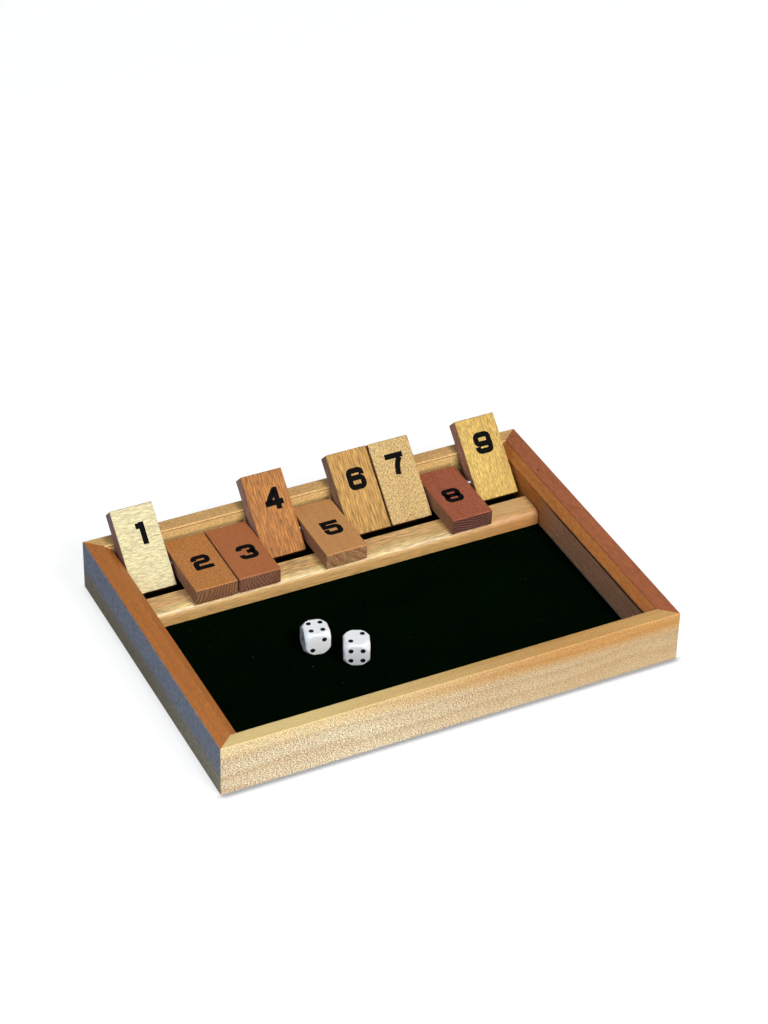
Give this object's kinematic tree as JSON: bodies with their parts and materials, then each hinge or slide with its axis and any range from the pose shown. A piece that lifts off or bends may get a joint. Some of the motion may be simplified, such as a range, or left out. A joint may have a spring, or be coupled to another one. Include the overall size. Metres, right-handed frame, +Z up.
{
  "type": "shut the box game",
  "caption": "Shallow wooden tray with a felt floor, numbered tiles that swing on a steel rod between the back rail and a rounded ledge, and loose dice.",
  "frame": {"origin": "middle of the tray's underside, on the surface that it stands on", "axes": "+X to the player's right along the rod, +Y from the player to the back rail, +Z up"},
  "size_m": [0.28, 0.2029, 0.0508],
  "materials": {
    "light_wood": "satin varnish",
    "orange_wood": "satin varnish",
    "red_wood": "satin varnish",
    "tile_wood": "satin varnish",
    "panel_wood": "plain",
    "felt": "felt",
    "steel": "bright drawn",
    "die_plastic": "gloss"
  },
  "bodies": {
    "tray": {"front_rail": "light_wood", "back_rail": "light_wood", "left_rail": "orange_wood", "right_rail": "red_wood", "left_cheek": "orange_wood", "right_cheek": "red_wood", "base_panel": "panel_wood", "playing_felt": "felt", "tile_ledge": "light_wood", "hinge_rod": "steel"},
    "tile_1": {"tile_1": "tile_wood"},
    "tile_2": {"tile_2": "tile_wood"},
    "tile_3": {"tile_3": "tile_wood"},
    "tile_4": {"tile_4": "tile_wood"},
    "tile_5": {"tile_5": "tile_wood"},
    "tile_6": {"tile_6": "tile_wood"},
    "tile_7": {"tile_7": "tile_wood"},
    "tile_8": {"tile_8": "tile_wood"},
    "tile_9": {"tile_9": "tile_wood"},
    "left_die": {"left_die": "die_plastic"},
    "right_die": {"right_die": "die_plastic"}
  },
  "joints": [
    {"name": "tile_1_hinge", "type": "hinge", "parent": "tray", "child": "tile_1", "pos_m": [0, 0.07317, 0.02183], "axis": [1, 0, 0], "range_deg": [0, 135.92]},
    {"name": "tile_2_hinge", "type": "hinge", "parent": "tray", "child": "tile_2", "pos_m": [0, 0.07317, 0.02183], "axis": [1, 0, 0], "range_deg": [-135.92, 0]},
    {"name": "tile_3_hinge", "type": "hinge", "parent": "tray", "child": "tile_3", "pos_m": [0, 0.07317, 0.02183], "axis": [1, 0, 0], "range_deg": [-135.92, 0]},
    {"name": "tile_4_hinge", "type": "hinge", "parent": "tray", "child": "tile_4", "pos_m": [0, 0.07317, 0.02183], "axis": [1, 0, 0], "range_deg": [0, 135.92]},
    {"name": "tile_5_hinge", "type": "hinge", "parent": "tray", "child": "tile_5", "pos_m": [0, 0.07317, 0.02183], "axis": [1, 0, 0], "range_deg": [-135.92, 0]},
    {"name": "tile_6_hinge", "type": "hinge", "parent": "tray", "child": "tile_6", "pos_m": [0, 0.07317, 0.02183], "axis": [1, 0, 0], "range_deg": [0, 135.92]},
    {"name": "tile_7_hinge", "type": "hinge", "parent": "tray", "child": "tile_7", "pos_m": [0, 0.07317, 0.02183], "axis": [1, 0, 0], "range_deg": [0, 135.92]},
    {"name": "tile_8_hinge", "type": "hinge", "parent": "tray", "child": "tile_8", "pos_m": [0, 0.07317, 0.02183], "axis": [1, 0, 0], "range_deg": [-135.92, 0]},
    {"name": "tile_9_hinge", "type": "hinge", "parent": "tray", "child": "tile_9", "pos_m": [0, 0.07317, 0.02183], "axis": [1, 0, 0], "range_deg": [0, 135.92]},
    {"name": "left_die_lift", "type": "slide", "parent": "tray", "child": "left_die", "axis": [0, 0, 1], "range_m": [0, 0.06]},
    {"name": "right_die_lift", "type": "slide", "parent": "tray", "child": "right_die", "axis": [0, 0, 1], "range_m": [0, 0.06]}
  ]
}
